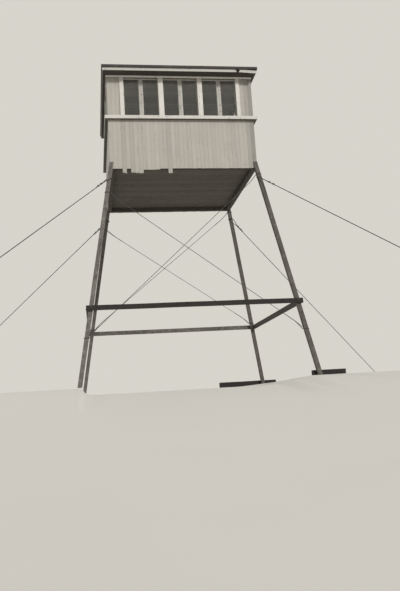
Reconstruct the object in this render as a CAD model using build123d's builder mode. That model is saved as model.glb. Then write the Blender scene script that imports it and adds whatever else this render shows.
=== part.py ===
from build123d import *
from math import radians, sin, sqrt
import os

# Timber fire lookout tower: a square cab on four raking legs, held by four stays.
# Millimetres, +Z up. The origin is on the ground under the middle of the cab,
# -Y is the front and +X is to the right of someone who looks at the front.

# Cab in plan and height
cab_side = 3660
floor_underside = 5250
wall_thickness = 110
wall_skin = 20

# Legs rake outwards on both faces, and their tops lap the cab's corners
leg_side = 100
leg_batter = 1 / 6
leg_lap = 35
leg_lap_tip = 6

# Girts, spiked to the outer faces of the legs
girt_level = 1760
girt_height = 115
girt_thickness = 50

# Timbers that lie on the ground behind the two right-hand legs
front_timber_side = 110
front_timber_inboard = 150
front_timber_outboard = 640
back_timber_side = 150
back_timber_inboard = 1330
back_timber_outboard = 410

# Floor frame and floor, with a lining of boards under the joists
beam_width = 100
beam_depth = 250
joist_width = 50
joist_depth = 120
joist_spacing = 600
floor_board_thickness = 25
lining_thickness = 20

# Hatch in the floor, carried by two of the joists
hatch_length = 700
hatch_from_beam = 360
hatch_gap = 3
hatch_cleat_width = 60
hatch_cleat_inset = 110

# Windows: three openings in a side, with two sashes in each
unit_count = 3
mullion_width = 38
opening_width = 950
opening_height = 1030
opening_foot_above_underside = 1360
wall_plate_height = 40
sash_gap = 2
sash_thickness = 40
sash_recess = 45
stile_width = 56
rail_height = 40
rebate_width = 10
rebate_depth = 15
glass_thickness = 4
glass_edge_gap = 1

# Outside boards round the windows
sill_projection = 80
sill_thickness = 95
sill_fall = 8
trim_thickness = 20
frieze_height = 55
casing_lap = 43
end_casing_width = 100

# Roof
eave_overhang = 270
side_overhang = 100
fascia_thickness = 20
fascia_height = 75
fascia_joint = 1
covering_lip = 20
covering_thickness = 70
roof_rise = 200

# The front fascia is broken near its right end, and the end piece hangs
break_from_middle = 1440
break_width = 110
end_piece_tilt = 3.5

# Taut stays from the legs down to pins in the ground
stay_diameter = 20
stay_drop = 250
front_anchor_x = 6200
back_anchor_x = 8400
anchor_y = 7000
anchor_diameter = 40
anchor_height = 130
anchor_grip_height = 90

# Crossed wires in the front and back faces, from high on one leg to low on the other
brace_diameter = 16
brace_spacing = 24
front_brace_left_drop = 630
front_brace_right_drop = 170
front_brace_foot_level = 1080
back_brace_left_drop = 530
back_brace_right_drop = 50
back_brace_foot_rise = 45

# Values worked out from those above
half_cab = cab_side / 2
floor_top = floor_underside + beam_depth + floor_board_thickness
opening_foot = floor_underside + opening_foot_above_underside
wall_top = opening_foot + opening_height + wall_plate_height
unit_pitch = opening_width + mullion_width
leg_top = floor_underside + (leg_lap - leg_lap_tip) / leg_batter
girt_foot = girt_level - girt_height / 2
girt_head = girt_level + girt_height / 2
sides = ("front", "right", "back", "left")
corners = {"front_left": (-1, -1), "front_right": (1, -1), "back_right": (1, 1), "back_left": (-1, 1)}


def side_plane(side, out=0):
    """The outer face of one wall as an elevation: local x to the right, local y up from the ground."""
    turns = sides.index(side)
    outward = [(0, -1), (1, 0), (0, 1), (-1, 0)][turns]
    reach = half_cab + out
    return Plane(
        origin=(outward[0] * reach, outward[1] * reach, 0),
        x_dir=(-outward[1], outward[0], 0),
        z_dir=(outward[0], outward[1], 0),
    )


def leg_centre(level):
    """How far a leg's centre line is from the middle of the cab, along X and along Y, at a level."""
    return half_cab + leg_lap - leg_side / 2 + (floor_underside - level) * leg_batter


def leg_face(level):
    """How far the legs' outer faces are from the middle of the cab at a level."""
    return leg_centre(level) + leg_side / 2


def row_centres(pitch, count):
    """Evenly spaced places, centred on 0."""
    return [(i - (count - 1) / 2) * pitch for i in range(count)]


def save(piece, name):
    """Label a finished piece and write it as its own STEP file."""
    piece.part.label = name
    export_step(piece.part, f"parts/{name}.step")


os.makedirs("parts", exist_ok=True)
nodes = {}

# Legs: a square section, sheared along the rake so that each side's faces lie in one plane
cab_outline_height = leg_top - floor_underside + leg_side
for corner, (sx, sy) in corners.items():
    with BuildPart() as leg:
        with BuildSketch(Plane.XY):
            with Locations((sx * leg_centre(0), sy * leg_centre(0))):
                Rectangle(leg_side, leg_side)
        rake = (-sx * leg_batter, -sy * leg_batter, 1)
        extrude(amount=leg_top * sqrt(1 + 2 * leg_batter**2), dir=rake)
        with BuildSketch(Plane.XY.offset(floor_underside)):
            Rectangle(cab_side, cab_side)
        extrude(amount=cab_outline_height, mode=Mode.SUBTRACT)
    nodes[f"leg_{corner}"] = leg

# Girts: planks on the raking outer faces, the front and back ones covering the ends of the others
girt_span = leg_face(girt_foot) + girt_thickness
for side in ("front", "back"):
    facing = -1 if side == "front" else 1
    with BuildPart() as girt:
        with BuildSketch(Plane.YZ.offset(-girt_span)):
            with BuildLine():
                Polyline(
                    (facing * leg_face(girt_foot), girt_foot),
                    (facing * (leg_face(girt_foot) + girt_thickness), girt_foot),
                    (facing * (leg_face(girt_head) + girt_thickness), girt_head),
                    (facing * leg_face(girt_head), girt_head),
                    close=True,
                )
            make_face()
        extrude(amount=2 * girt_span)
    nodes[f"girt_{side}"] = girt

for side in ("left", "right"):
    facing = -1 if side == "left" else 1
    leaning_plane = Plane(
        origin=(facing * leg_face(girt_level), 0, girt_level),
        x_dir=(0, facing, 0),
        z_dir=(facing, 0, leg_batter),
    )
    half_slope = girt_height / 2 * sqrt(1 + leg_batter**2)
    with BuildPart() as girt:
        with BuildSketch(leaning_plane):
            with BuildLine():
                Polyline(
                    (-leg_face(girt_foot), -half_slope),
                    (leg_face(girt_foot), -half_slope),
                    (leg_face(girt_head), half_slope),
                    (-leg_face(girt_head), half_slope),
                    close=True,
                )
            make_face()
        extrude(amount=girt_thickness, dir=(facing, 0, 0))
    nodes[f"girt_{side}"] = girt

# Ground timbers: each is notched to fit the back of its leg
timber_sizes = {
    "front_right": (front_timber_side, front_timber_inboard, front_timber_outboard),
    "back_right": (back_timber_side, back_timber_inboard, back_timber_outboard),
}
with BuildPart() as ground_timbers:
    for corner, (timber_side, inboard, outboard) in timber_sizes.items():
        sx, sy = corners[corner]
        level_of_touch = timber_side if sy > 0 else 0
        face_y = sy * leg_centre(level_of_touch) + leg_side / 2
        centre_x = leg_centre(0) + (outboard - inboard) / 2
        with BuildSketch(Plane.XY):
            with Locations((centre_x, face_y + timber_side / 2)):
                Rectangle(inboard + outboard, timber_side)
        extrude(amount=timber_side)
        add(nodes[f"leg_{corner}"].part, mode=Mode.SUBTRACT)
nodes["ground_timbers"] = ground_timbers

# Floor frame: two long beams, two short ones between them, and joists
frame_half = half_cab - wall_skin
for side in sides:
    long_beam = side in ("front", "back")
    run = 2 * frame_half if long_beam else 2 * (frame_half - beam_width)
    with BuildPart() as beam:
        with BuildSketch(side_plane(side, -wall_skin)):
            with Locations((0, floor_underside + beam_depth / 2)):
                Rectangle(run, beam_depth)
        extrude(amount=-beam_width)
    nodes[f"floor_beam_{side}"] = beam

joist_foot = floor_underside + beam_depth - joist_depth
joist_run = frame_half - beam_width
joist_centres = row_centres(joist_spacing, 2 * int(joist_run / joist_spacing) + 1)
with BuildPart() as floor_joists:
    with BuildSketch(Plane.XY.offset(joist_foot)):
        with Locations([(x, 0) for x in joist_centres]):
            Rectangle(joist_width, 2 * joist_run)
    extrude(amount=joist_depth)
nodes["floor_joists"] = floor_joists

# Floor boards and the lining below, with the hatch opening over one gap between joists
hatch_centre_x = -(joist_centres[-1] + joist_centres[-2]) / 2
hatch_centre_y = joist_run - hatch_from_beam - hatch_length / 2
joist_gap = joist_spacing - joist_width
lining_foot = joist_foot - lining_thickness
with BuildPart() as floor_boards:
    with BuildSketch(Plane.XY.offset(floor_underside + beam_depth)):
        Rectangle(2 * frame_half, 2 * frame_half)
        with Locations((hatch_centre_x, hatch_centre_y)):
            Rectangle(joist_spacing, hatch_length, mode=Mode.SUBTRACT)
    extrude(amount=floor_board_thickness)
    with BuildSketch(Plane.XY.offset(lining_foot)):
        Rectangle(2 * joist_run, 2 * joist_run)
        with Locations((hatch_centre_x, hatch_centre_y)):
            Rectangle(joist_gap, hatch_length, mode=Mode.SUBTRACT)
    extrude(amount=lining_thickness)
nodes["floor_boards"] = floor_boards

# The hatch lid lies on two joists, and carries its own piece of the lining on cleats
hatch_run = hatch_length - 2 * hatch_gap
with BuildPart() as floor_hatch:
    with BuildSketch(Plane.XY.offset(floor_underside + beam_depth)):
        with Locations((hatch_centre_x, hatch_centre_y)):
            Rectangle(joist_spacing - 2 * hatch_gap, hatch_run)
    extrude(amount=floor_board_thickness)
    cleat_reach = hatch_length / 2 - hatch_cleat_inset - hatch_cleat_width / 2
    with BuildSketch(Plane.XY.offset(joist_foot)):
        with Locations([(hatch_centre_x, hatch_centre_y + end * cleat_reach) for end in (-1, 1)]):
            Rectangle(joist_gap - 2 * hatch_gap, hatch_cleat_width)
    extrude(amount=joist_depth)
    with BuildSketch(Plane.XY.offset(lining_foot)):
        with Locations((hatch_centre_x, hatch_centre_y)):
            Rectangle(joist_gap - 2 * hatch_gap, hatch_run)
    extrude(amount=lining_thickness)
nodes["floor_hatch"] = floor_hatch

# Walls: a framed panel above the floor, with an outer skin that runs down over the beams
opening_centres = row_centres(unit_pitch, unit_count)
opening_places = [(x, opening_foot + opening_height / 2) for x in opening_centres]
for side in sides:
    full_width = side in ("front", "back")
    run = cab_side if full_width else cab_side - 2 * wall_thickness
    with BuildPart() as wall:
        with BuildSketch(side_plane(side)):
            with Locations((0, (floor_top + wall_top) / 2)):
                Rectangle(run, wall_top - floor_top)
            with Locations(opening_places):
                Rectangle(opening_width, opening_height, mode=Mode.SUBTRACT)
        extrude(amount=-wall_thickness)
        with BuildSketch(side_plane(side)):
            with Locations((0, (floor_underside + floor_top) / 2)):
                Rectangle(run, floor_top - floor_underside)
        extrude(amount=-wall_skin)
        if full_width:
            return_x = half_cab - wall_skin / 2
            with BuildSketch(side_plane(side)):
                with Locations([(end * return_x, (floor_underside + floor_top) / 2) for end in (-1, 1)]):
                    Rectangle(wall_skin, floor_top - floor_underside)
            extrude(amount=-wall_thickness)
    nodes[f"wall_{side}"] = wall

# Sill boards: mitred at the corners, with a top that falls outwards
for side in sides:
    plan = side_plane(side)
    sill_plane = Plane(
        origin=plan.origin + Vector(0, 0, opening_foot - sill_thickness),
        x_dir=plan.x_dir,
        z_dir=(0, 0, 1),
    )
    with BuildPart() as sill:
        with BuildSketch(sill_plane):
            with BuildLine():
                Polyline(
                    (-half_cab, 0),
                    (half_cab, 0),
                    (half_cab + sill_projection, -sill_projection),
                    (-half_cab - sill_projection, -sill_projection),
                    close=True,
                )
            make_face()
        extrude(amount=sill_thickness)
        nosing = sill.edges().group_by(Axis.Z)[-1].sort_by(SortBy.LENGTH)[-1]
        top_face = sill.faces().sort_by(Axis.Z)[-1]
        chamfer(nosing, length=sill_projection - trim_thickness, length2=sill_fall, reference=top_face)
    nodes[f"sill_{side}"] = sill

# Trim: a frieze board under the soffit and upright casings down to the sill, in one plane
frieze_foot = wall_top - frieze_height
row_half = (unit_count - 1) / 2 * unit_pitch + opening_width / 2
mullion_casing_width = mullion_width + 2 * casing_lap
end_casing_centre = row_half - casing_lap + end_casing_width / 2
for side in sides:
    full_width = side in ("front", "back")
    run = cab_side + 2 * trim_thickness if full_width else cab_side
    casing_height = frieze_foot - opening_foot
    casing_middle = (frieze_foot + opening_foot) / 2
    with BuildPart() as trim:
        with BuildSketch(side_plane(side)):
            with Locations((0, wall_top - frieze_height / 2)):
                Rectangle(run, frieze_height)
            with Locations([(x, casing_middle) for x in row_centres(unit_pitch, unit_count - 1)]):
                Rectangle(mullion_casing_width, casing_height)
            with Locations([(end * end_casing_centre, casing_middle) for end in (-1, 1)]):
                Rectangle(end_casing_width, casing_height)
        extrude(amount=trim_thickness)
    nodes[f"window_trim_{side}"] = trim

# Sashes: two in each opening, rebated outside for the glass
sash_width = (opening_width - 3 * sash_gap) / 2
sash_height = opening_height - sash_gap
sight_width = sash_width - 2 * stile_width
sight_height = sash_height - 2 * rail_height
sash_middle = opening_foot + sash_height / 2
sash_places = [
    (x + hand * (sash_width + sash_gap) / 2, sash_middle) for x in opening_centres for hand in (-1, 1)
]
for side in sides:
    sash_face = side_plane(side, -sash_recess)
    with BuildPart() as sashes:
        with BuildSketch(sash_face):
            with Locations(sash_places):
                Rectangle(sash_width, sash_height)
                Rectangle(sight_width, sight_height, mode=Mode.SUBTRACT)
        extrude(amount=-sash_thickness)
        with BuildSketch(sash_face):
            with Locations(sash_places):
                Rectangle(sight_width + 2 * rebate_width, sight_height + 2 * rebate_width)
        extrude(amount=-rebate_depth, mode=Mode.SUBTRACT)
    nodes[f"sashes_{side}"] = sashes

    pane_margin = rebate_width - glass_edge_gap
    with BuildPart() as panes:
        with BuildSketch(side_plane(side, -sash_recess - rebate_depth)):
            with Locations(sash_places):
                Rectangle(sight_width + 2 * pane_margin, sight_height + 2 * pane_margin)
        extrude(amount=glass_thickness)
    nodes[f"window_glass_{side}"] = panes

# Roof: a deck with a level soffit and a low hip, formed where two shallow gables meet
deck_half_x = half_cab + side_overhang - fascia_thickness
deck_half_y = half_cab + eave_overhang - fascia_thickness
covering_half_x = half_cab + side_overhang + covering_lip
covering_half_y = half_cab + eave_overhang + covering_lip
fascia_top = wall_top + fascia_height


def low_hip(half_x, half_y, foot, eave):
    """A rectangle in plan with upright edges from foot to eave, and four slopes that meet at the peak."""
    with BuildPart() as hip:
        with BuildSketch(Plane.XZ.offset(-half_y)):
            with BuildLine():
                Polyline(
                    (-half_x, foot), (half_x, foot), (half_x, eave), (0, eave + roof_rise), (-half_x, eave), close=True
                )
            make_face()
        extrude(amount=2 * half_y)
        with BuildSketch(Plane.YZ.offset(-half_x)):
            with BuildLine():
                Polyline(
                    (-half_y, foot), (half_y, foot), (half_y, eave), (0, eave + roof_rise), (-half_y, eave), close=True
                )
            make_face()
        extrude(amount=2 * half_x, mode=Mode.INTERSECT)
    return hip


roof_deck = low_hip(deck_half_x, deck_half_y, wall_top, fascia_top)
nodes["roof_deck"] = roof_deck

covering_outside = low_hip(covering_half_x, covering_half_y, fascia_top, fascia_top + covering_thickness)
with BuildPart() as roof_covering:
    add(covering_outside.part)
    add(roof_deck.part, mode=Mode.SUBTRACT)
nodes["roof_covering"] = roof_covering

# Fascia boards round the deck; the front one is in two pieces, with the end piece hanging
fascia_middle = wall_top + fascia_height / 2
front_run_left = -(deck_half_x + fascia_thickness)
front_run_right = break_from_middle - break_width / 2
end_piece_left = break_from_middle + break_width / 2
end_piece_right = deck_half_x + fascia_thickness
with BuildPart() as fascia_boards:
    with BuildSketch(Plane.XZ.offset(deck_half_y)):
        with Locations(((front_run_left + front_run_right) / 2, fascia_middle)):
            Rectangle(front_run_right - front_run_left, fascia_height)
    extrude(amount=fascia_thickness)
    with BuildSketch(Plane.XZ.offset(deck_half_y)):
        end_piece_run = end_piece_right - end_piece_left
        end_piece_drop = end_piece_run * sin(radians(end_piece_tilt)) / 2
        with Locations(((end_piece_left + end_piece_right) / 2, fascia_middle - end_piece_drop)):
            Rectangle(end_piece_run, fascia_height, rotation=-end_piece_tilt)
    extrude(amount=fascia_thickness)
    with BuildSketch(Plane.XZ.offset(-deck_half_y)):
        with Locations((0, fascia_middle)):
            Rectangle(end_piece_right - front_run_left, fascia_height)
    extrude(amount=-fascia_thickness)
    for facing in (-1, 1):
        with BuildSketch(Plane.YZ.offset(facing * deck_half_x)):
            with Locations((0, fascia_middle)):
                Rectangle(2 * (deck_half_y - fascia_joint), fascia_height)
        extrude(amount=facing * fascia_thickness)
nodes["fascia_boards"] = fascia_boards

# Anchor pins and stays
anchor_places = {
    corner: (sx * (front_anchor_x if sy < 0 else back_anchor_x), sy * anchor_y)
    for corner, (sx, sy) in corners.items()
}
with BuildPart() as anchor_pins:
    with BuildSketch(Plane.XY):
        with Locations(list(anchor_places.values())):
            Circle(anchor_diameter / 2)
    extrude(amount=anchor_height)
nodes["anchor_pins"] = anchor_pins

stay_level = floor_underside - stay_drop
for corner, (sx, sy) in corners.items():
    top = Vector(sx * leg_centre(stay_level), sy * leg_centre(stay_level), stay_level)
    foot = Vector(*anchor_places[corner], anchor_grip_height)
    run = foot - top
    with BuildPart() as stay:
        with BuildSketch(Plane(origin=top, z_dir=run)):
            Circle(stay_diameter / 2)
        extrude(amount=run.length)
        add(nodes[f"leg_{corner}"].part, mode=Mode.SUBTRACT)
        add(anchor_pins.part, mode=Mode.SUBTRACT)
    nodes[f"stay_{corner}"] = stay

# Crossed wires between the two front legs and between the two back legs
brace_ends = {
    "front": (front_brace_left_drop, front_brace_right_drop, front_brace_foot_level),
    "back": (back_brace_left_drop, back_brace_right_drop, girt_head + back_brace_foot_rise),
}
for side, (left_drop, right_drop, foot_level) in brace_ends.items():
    facing = -1 if side == "front" else 1
    with BuildPart() as brace_wires:
        for hand, drop in ((-1, left_drop), (1, right_drop)):
            top_level = floor_underside - drop
            out = hand * brace_spacing / 2
            top = Vector(hand * leg_centre(top_level), facing * leg_centre(top_level) + out, top_level)
            foot = Vector(-hand * leg_centre(foot_level), facing * leg_centre(foot_level) + out, foot_level)
            run = foot - top
            with BuildSketch(Plane(origin=top, z_dir=run)):
                Circle(brace_diameter / 2)
            extrude(amount=run.length)
        for end in ("left", "right"):
            add(nodes[f"leg_{side}_{end}"].part, mode=Mode.SUBTRACT)
    nodes[f"{side}_brace_wires"] = brace_wires

for name, piece in nodes.items():
    save(piece, name)
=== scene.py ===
import math
import random

import bmesh
import bpy
from mathutils import Matrix, Vector, noise


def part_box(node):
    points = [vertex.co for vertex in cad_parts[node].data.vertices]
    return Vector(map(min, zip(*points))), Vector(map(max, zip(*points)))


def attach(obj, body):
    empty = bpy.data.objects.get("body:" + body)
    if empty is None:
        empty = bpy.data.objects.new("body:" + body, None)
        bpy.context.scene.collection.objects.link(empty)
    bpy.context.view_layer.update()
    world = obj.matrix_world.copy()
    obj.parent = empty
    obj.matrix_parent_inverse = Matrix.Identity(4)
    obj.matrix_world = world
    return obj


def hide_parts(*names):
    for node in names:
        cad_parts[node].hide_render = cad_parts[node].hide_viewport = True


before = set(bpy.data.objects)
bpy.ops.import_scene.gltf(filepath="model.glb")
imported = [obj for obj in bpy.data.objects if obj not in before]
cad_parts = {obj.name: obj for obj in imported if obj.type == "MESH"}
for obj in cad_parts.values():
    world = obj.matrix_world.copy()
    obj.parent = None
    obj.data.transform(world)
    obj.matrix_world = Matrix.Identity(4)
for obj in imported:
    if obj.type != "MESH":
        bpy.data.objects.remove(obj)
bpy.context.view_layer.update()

# A timber fire lookout tower, dressed around its frame. Metres, +Z up, -Y is the front.

# Sizes read from the frame
HALF_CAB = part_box("wall_front")[1].x
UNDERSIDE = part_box("wall_front")[0].z
WALL_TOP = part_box("wall_front")[1].z
WALL_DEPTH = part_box("wall_left")[1].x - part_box("wall_left")[0].x
LINING_FOOT, FLOOR_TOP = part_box("floor_boards")[0].z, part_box("floor_boards")[1].z
FLOOR_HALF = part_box("floor_boards")[1].x
SILL_FOOT, SILL_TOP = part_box("sill_front")[0].z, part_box("sill_front")[1].z
SILL_OUT = -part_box("sill_front")[0].y - HALF_CAB
SASH_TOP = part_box("sashes_front")[1].z
SASH_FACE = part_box("sashes_front")[0].y + HALF_CAB
SASH_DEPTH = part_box("sashes_front")[1].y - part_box("sashes_front")[0].y
ROW_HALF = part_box("sashes_front")[1].x
GLASS_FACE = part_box("window_glass_front")[0].y + HALF_CAB
TRIM_DEPTH = -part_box("window_trim_front")[0].y - HALF_CAB
DECK_LOW, DECK_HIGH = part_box("roof_deck")
COVER_LOW, COVER_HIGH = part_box("roof_covering")
FASCIA_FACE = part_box("fascia_boards")[1].y
HATCH_LOW, HATCH_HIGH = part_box("floor_hatch")
LINING_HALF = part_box("floor_joists")[1].y
GIRT_LEVEL = (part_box("girt_front")[0].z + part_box("girt_front")[1].z) / 2
FOOT_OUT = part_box("leg_front_right")[1].x

# Sizes that the frame's boxes don't give
LEG_SIDE, LEG_BATTER = 0.100, 1 / 6
SKIN, WALL_BOARD = 0.020, 0.101
GIRT_THICK = 0.050
FLOOR_BOARD, LINING_BOARD, HATCH_GAP = 0.025, 0.020, 0.003
UNIT_PITCH, OPENING_WIDTH = 0.988, 0.950
OPENING_HEAD = SASH_TOP + 0.002
SASH_GAP = 0.002
STILE, RAIL = 0.056, 0.040
REBATE, REBATE_DEPTH = 0.010, 0.015
FRIEZE_HEIGHT = 0.055
CASING_LAP, END_CASING = 0.043, 0.100
EAVE, PEAK = COVER_LOW.z + 0.060, COVER_HIGH.z - 0.012
FELT_COURSE, FELT_LAP = 0.86, 0.06
FELT_NAIL, BOARD_NAIL = (0.0055, 0.0012, 7), (0.0035, 0.001, 6)
FASCIA_THICK, FASCIA_BREAK, FASCIA_TILT = 0.020, (1.365, 1.515), math.radians(3.5)
STAY_LEVEL, STAY_RADIUS = UNDERSIDE - 0.250, 0.010
ANCHOR_X, ANCHOR_Y = {"front": 6.2, "back": 8.4}, 7.0
ANCHOR_GRIP, ANCHOR_RING = 0.090, 0.030
EYE_LEVEL = ANCHOR_GRIP + 0.001
BRACE_RADIUS, BRACE_SPACING = 0.008, 0.024
BRACE_TOPS = {"front": (4.620, 5.080), "back": (4.720, 5.200)}
BRACE_FEET = {"front": 1.080, "back": 1.8625}

SIDES = {
    "front": Vector((0, -1, 0)),
    "right": Vector((1, 0, 0)),
    "back": Vector((0, 1, 0)),
    "left": Vector((-1, 0, 0)),
}
CORNERS = {"front_left": (-1, -1), "front_right": (1, -1), "back_right": (1, 1), "back_left": (-1, 1)}
CORNER_SIGNS = list(CORNERS.values())
UP = Vector((0, 0, 1))
UNITS = [-UNIT_PITCH, 0.0, UNIT_PITCH]

chance = random.Random(11)
noise.seed_set(11)


def rightward(out):
    """The direction to the right of someone outside who looks at the side that faces out."""
    return Vector((-out.y, out.x, 0))


def on_wall(out, along, height, proud=0.0):
    """A point on one side of the cab, so far along it and so far proud of the wall's face."""
    return rightward(out) * along + out * (HALF_CAB + proud) + UP * height


def board_run(side):
    """Half the length that a side's boards cover. Those in front and behind cover the others' ends."""
    return HALF_CAB if side in ("front", "back") else HALF_CAB - SKIN


def leg_centre(height):
    """How far a leg's centre line is from the middle of the tower, along X and along Y."""
    return FOOT_OUT - LEG_SIDE / 2 - height * LEG_BATTER


def leg_point(sx, sy, height):
    """The middle of a leg at one height."""
    return Vector((sx * leg_centre(height), sy * leg_centre(height), height))


def spread(low, high, parts):
    """Evenly spaced values from low to high, both of them included."""
    return [low + (high - low) * i / parts for i in range(parts + 1)]


def row(low, high, width):
    """Boards of about one width, side by side from low to high: their pitch, and the middle of each."""
    count = max(1, round((high - low) / width))
    pitch = (high - low) / count
    return pitch, [low + (i + 0.5) * pitch for i in range(count)]


def arc(centre, first, second, turns):
    """Places round a centre, in the direction of first at no turn and of second at a quarter turn."""
    return [centre + first * math.cos(t) + second * math.sin(t) for t in turns]


# Shapes

class Pile:
    """Members that make one piece together. Each has its own grain coordinates and its own tone."""

    def __init__(self):
        self.mesh = bmesh.new()
        self.grain = self.mesh.verts.layers.float_vector.new("grain")
        self.tone = self.mesh.verts.layers.float.new("tone")

    def point(self, place, grain, tone=0.0):
        vertex = self.mesh.verts.new(place)
        vertex[self.grain] = grain
        vertex[self.tone] = tone
        return vertex

    def ring(self, places, tone=0.0):
        """Points whose grain follows their place."""
        return [self.point(place, place, tone) for place in places]

    def strip(self, ring, following):
        """Quads between two rings of points."""
        for i in range(len(ring)):
            j = (i + 1) % len(ring)
            self.mesh.faces.new((ring[i], ring[j], following[j], following[i]))

    def cone(self, ring, tip):
        """Triangles from a ring to a tip."""
        for i in range(len(ring)):
            self.mesh.faces.new((ring[i], ring[(i + 1) % len(ring)], tip))

    def skin(self, rings, capped=True):
        """Strips from each ring to the next, with a face over both ends."""
        for ring, following in zip(rings, rings[1:]):
            self.strip(ring, following)
        if capped:
            self.mesh.faces.new(rings[0])
            self.mesh.faces.new(rings[-1])

    def finish(self, name, material, slot, nodes=(), smooth=False):
        """The piece itself: it rides on the tower and stands for the nodes named. Its slot is not used."""
        bmesh.ops.recalc_face_normals(self.mesh, faces=self.mesh.faces)
        data = bpy.data.meshes.new(name)
        self.mesh.to_mesh(data)
        self.mesh.free()
        if smooth:
            data.shade_smooth()
        data.materials.append(material)
        piece = bpy.data.objects.new(name, data)
        bpy.context.scene.collection.objects.link(piece)
        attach(piece, "root")
        if nodes:
            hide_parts(*nodes)


def sawn(width, thickness, ease=0.002):
    """A sawn member's section with eased arrises: width across, and out from 0 to the thickness."""
    w, t, e = width / 2, thickness, ease
    return [(-w, e), (-w + e, 0), (w - e, 0), (w, e), (w, t - e), (w - e, t), (-w + e, t), (-w, t - e)]


def matched(width, thickness, joint=0.003):
    """A matched board's section: square at the back, with a V joint at both edges of the face."""
    w, t = width / 2, thickness
    return [(-w, 0), (w, 0), (w, t - joint), (w - joint, t), (-w + joint, t), (-w, t - joint)]


def splintered(width, thickness):
    """A matched board's section with points along both faces, for an end that has broken into fibres."""
    w, joint = width / 2, 0.003
    places = [-w] + spread(-w + joint, w - joint, 18) + [w]
    face = [(a, thickness if abs(a) < w else thickness - joint) for a in reversed(places)]
    return [(a, 0) for a in places] + face


def bar(pile, start, end, across, out, outline, ease=0.002, step=0.4, wander=0.0, tone=None,
        mitre=(0.0, 0.0), jag=(0.0, 0.0)):
    """One straight member. Its outline lies in (across, out), and is eased at both ends.
    mitre is how far each end runs on for each metre outwards, and jag how far its fibres stand out
    where it broke."""
    length = (end - start).length
    along = (end - start) / length
    middle = [sum(p[k] for p in outline) / len(outline) for k in (0, 1)]
    count = max(1, round(length / step)) if wander else 1
    marks = sorted({0.0, ease, length - ease, length} | {length * i / count for i in range(1, count)})
    tone = chance.uniform(-1, 1) if tone is None else tone
    pith = Vector((chance.uniform(-0.12, 0.12), chance.uniform(0.02, 0.16), chance.uniform(0, 9)))
    broken = any(jag)
    rings = []
    for mark in marks:
        at_end = mark in (0.0, length)
        bend = noise.noise_vector(start * 3.1 + along * mark * 0.9) * wander
        share = mark / length
        ring = []
        for a, b in outline:
            fibre = 0.0
            if at_end and broken:
                coarse = abs(noise.noise(Vector((a * 61, start.x * 7, share * 5))))
                fibre = coarse + 0.7 * abs(noise.noise(Vector((a * 310, start.x * 9, share * 5 + 2))))
            elif at_end:
                a -= math.copysign(min(ease, abs(a - middle[0])), a - middle[0])
                b -= math.copysign(min(ease, abs(b - middle[1])), b - middle[1])
            run = mark + b * (mitre[1] * share - mitre[0] * (1 - share))
            run += fibre * (jag[1] * share - jag[0] * (1 - share))
            place = start + along * run + across * a + out * b + bend
            ring.append(pile.point(place, pith + Vector((a, b, run)), tone))
        rings.append(ring)
    pile.skin(rings, capped=not broken)
    if broken:
        for cap in (rings[0], rings[-1]):
            for i in range(len(cap) // 2 - 1):
                pile.mesh.faces.new((cap[i], cap[i + 1], cap[-2 - i], cap[-1 - i]))


def upright(pile, out, along, low, high, depth, outline, *details, **more):
    """A member that stands on one side of the cab. depth is how far its back is proud of the wall."""
    start, end = on_wall(out, along, low, depth), on_wall(out, along, high, depth)
    bar(pile, start, end, rightward(out), out, outline, *details, **more)


def lengthwise(pile, out, left, right, height, depth, outline, *details, **more):
    """A member that runs level along one side of the cab."""
    start, end = on_wall(out, left, height, depth), on_wall(out, right, height, depth)
    bar(pile, start, end, UP, out, outline, *details, **more)


def flat_board(pile, x0, x1, y, back, outline):
    """A board that lies face down, with its back at a level of its own."""
    start, end = Vector((x0, y, back)), Vector((x1, y, back))
    bar(pile, start, end, Vector((0, 1, 0)), -UP, outline, step=0.6, wander=0.0006)


def islands(mesh):
    """The separate solids of a mesh, as lists of vertices."""
    left, found = dict.fromkeys(mesh.verts), []
    while left:
        todo, group = [left.popitem()[0]], []
        while todo:
            vertex = todo.pop()
            group.append(vertex)
            for edge in vertex.link_edges:
                other = edge.other_vert(vertex)
                if other in left:
                    del left[other]
                    todo.append(other)
        found.append(group)
    return found


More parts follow.
